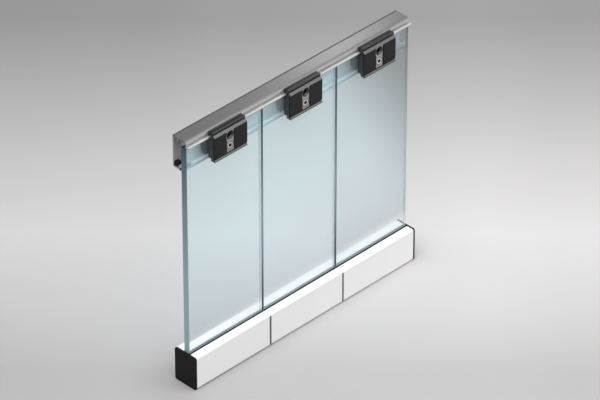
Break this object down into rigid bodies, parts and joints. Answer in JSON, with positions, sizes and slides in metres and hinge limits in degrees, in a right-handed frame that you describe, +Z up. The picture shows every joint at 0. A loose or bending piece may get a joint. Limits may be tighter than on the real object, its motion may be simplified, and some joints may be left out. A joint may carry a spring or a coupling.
{
  "type": "interior partition wall",
  "caption": "Top-hung frameless glass partition: glass leaves on black hanger clamps sliding along an open aluminium head track, with white capped bottom rails.",
  "frame": {"origin": "middle of the footprint on the floor", "axes": "+X along the wall to the right seen from the room side, +Y towards the back of the track, +Z up"},
  "size_m": [0.509, 0.048, 0.48],
  "materials": {
    "satin_aluminium": "satin anodised extrusion",
    "clear_glass": "clear toughened, polished edges",
    "black_anodised": "black satin anodised",
    "black_cover": "fine matte texture",
    "brushed_strip": "brushed",
    "bolt_steel": "bright",
    "dark_steel": "dark oxide",
    "glide_polymer": "smooth polymer",
    "black_rubber": "matte",
    "grey_seal": "matte",
    "clear_seal": "translucent, satin",
    "white_powder_coat": "gloss white powder coat",
    "black_cap": "satin",
    "brush_fibre": "dense pile"
  },
  "bodies": {
    "track": {"top_track": "satin_aluminium", "track_seal": "clear_seal", "track_edge_seal": "grey_seal", "channel_plug": "black_rubber"},
    "left_leaf": {"glass_panel_left": "clear_glass", "front_jaw_left": "black_anodised", "hook_glide_left": "glide_polymer", "rear_jaw_left": "black_anodised", "clamp_pads_left": "black_rubber", "left_cover_left": "black_cover", "right_cover_left": "black_cover", "strap_plate_left": "brushed_strip", "clamp_bolt_left": "bolt_steel", "height_adjuster_left": "dark_steel", "glass_bush_left": "glide_polymer", "bottom_rail_left": "white_powder_coat", "front_gasket_left": "black_rubber", "rear_gasket_left": "clear_seal", "setting_blocks_left": "black_rubber", "floor_seals_left": "brush_fibre", "end_cap_left": "black_cap"},
    "middle_leaf": {"glass_panel_middle": "clear_glass", "front_jaw_middle": "black_anodised", "hook_glide_middle": "glide_polymer", "rear_jaw_middle": "black_anodised", "clamp_pads_middle": "black_rubber", "left_cover_middle": "black_cover", "right_cover_middle": "black_cover", "strap_plate_middle": "brushed_strip", "clamp_bolt_middle": "bolt_steel", "height_adjuster_middle": "dark_steel", "glass_bush_middle": "glide_polymer", "bottom_rail_middle": "white_powder_coat", "front_gasket_middle": "black_rubber", "rear_gasket_middle": "clear_seal", "setting_blocks_middle": "black_rubber", "floor_seals_middle": "brush_fibre", "glass_seal_left": "clear_seal", "glass_seal_right": "clear_seal", "rail_buffer_left": "grey_seal", "rail_buffer_right": "grey_seal"},
    "right_leaf": {"glass_panel_right": "clear_glass", "front_jaw_right": "black_anodised", "hook_glide_right": "glide_polymer", "rear_jaw_right": "black_anodised", "clamp_pads_right": "black_rubber", "left_cover_right": "black_cover", "right_cover_right": "black_cover", "strap_plate_right": "brushed_strip", "clamp_bolt_right": "bolt_steel", "height_adjuster_right": "dark_steel", "glass_bush_right": "glide_polymer", "bottom_rail_right": "white_powder_coat", "front_gasket_right": "black_rubber", "rear_gasket_right": "clear_seal", "setting_blocks_right": "black_rubber", "floor_seals_right": "brush_fibre", "end_cap_right": "black_cap"}
  },
  "joints": [
    {"name": "left_slide", "type": "slide", "parent": "track", "child": "left_leaf", "axis": [1, 0, 0], "range_m": [-0.045, 0]},
    {"name": "middle_slide", "type": "slide", "parent": "track", "child": "middle_leaf", "axis": [1, 0, 0], "range_m": [-0.045, 0]},
    {"name": "right_slide", "type": "slide", "parent": "track", "child": "right_leaf", "axis": [1, 0, 0], "range_m": [0, 0.045]}
  ],
  "couplings": [
    {"joint": "middle_slide", "follows": "left_slide", "ratio": 1}
  ]
}
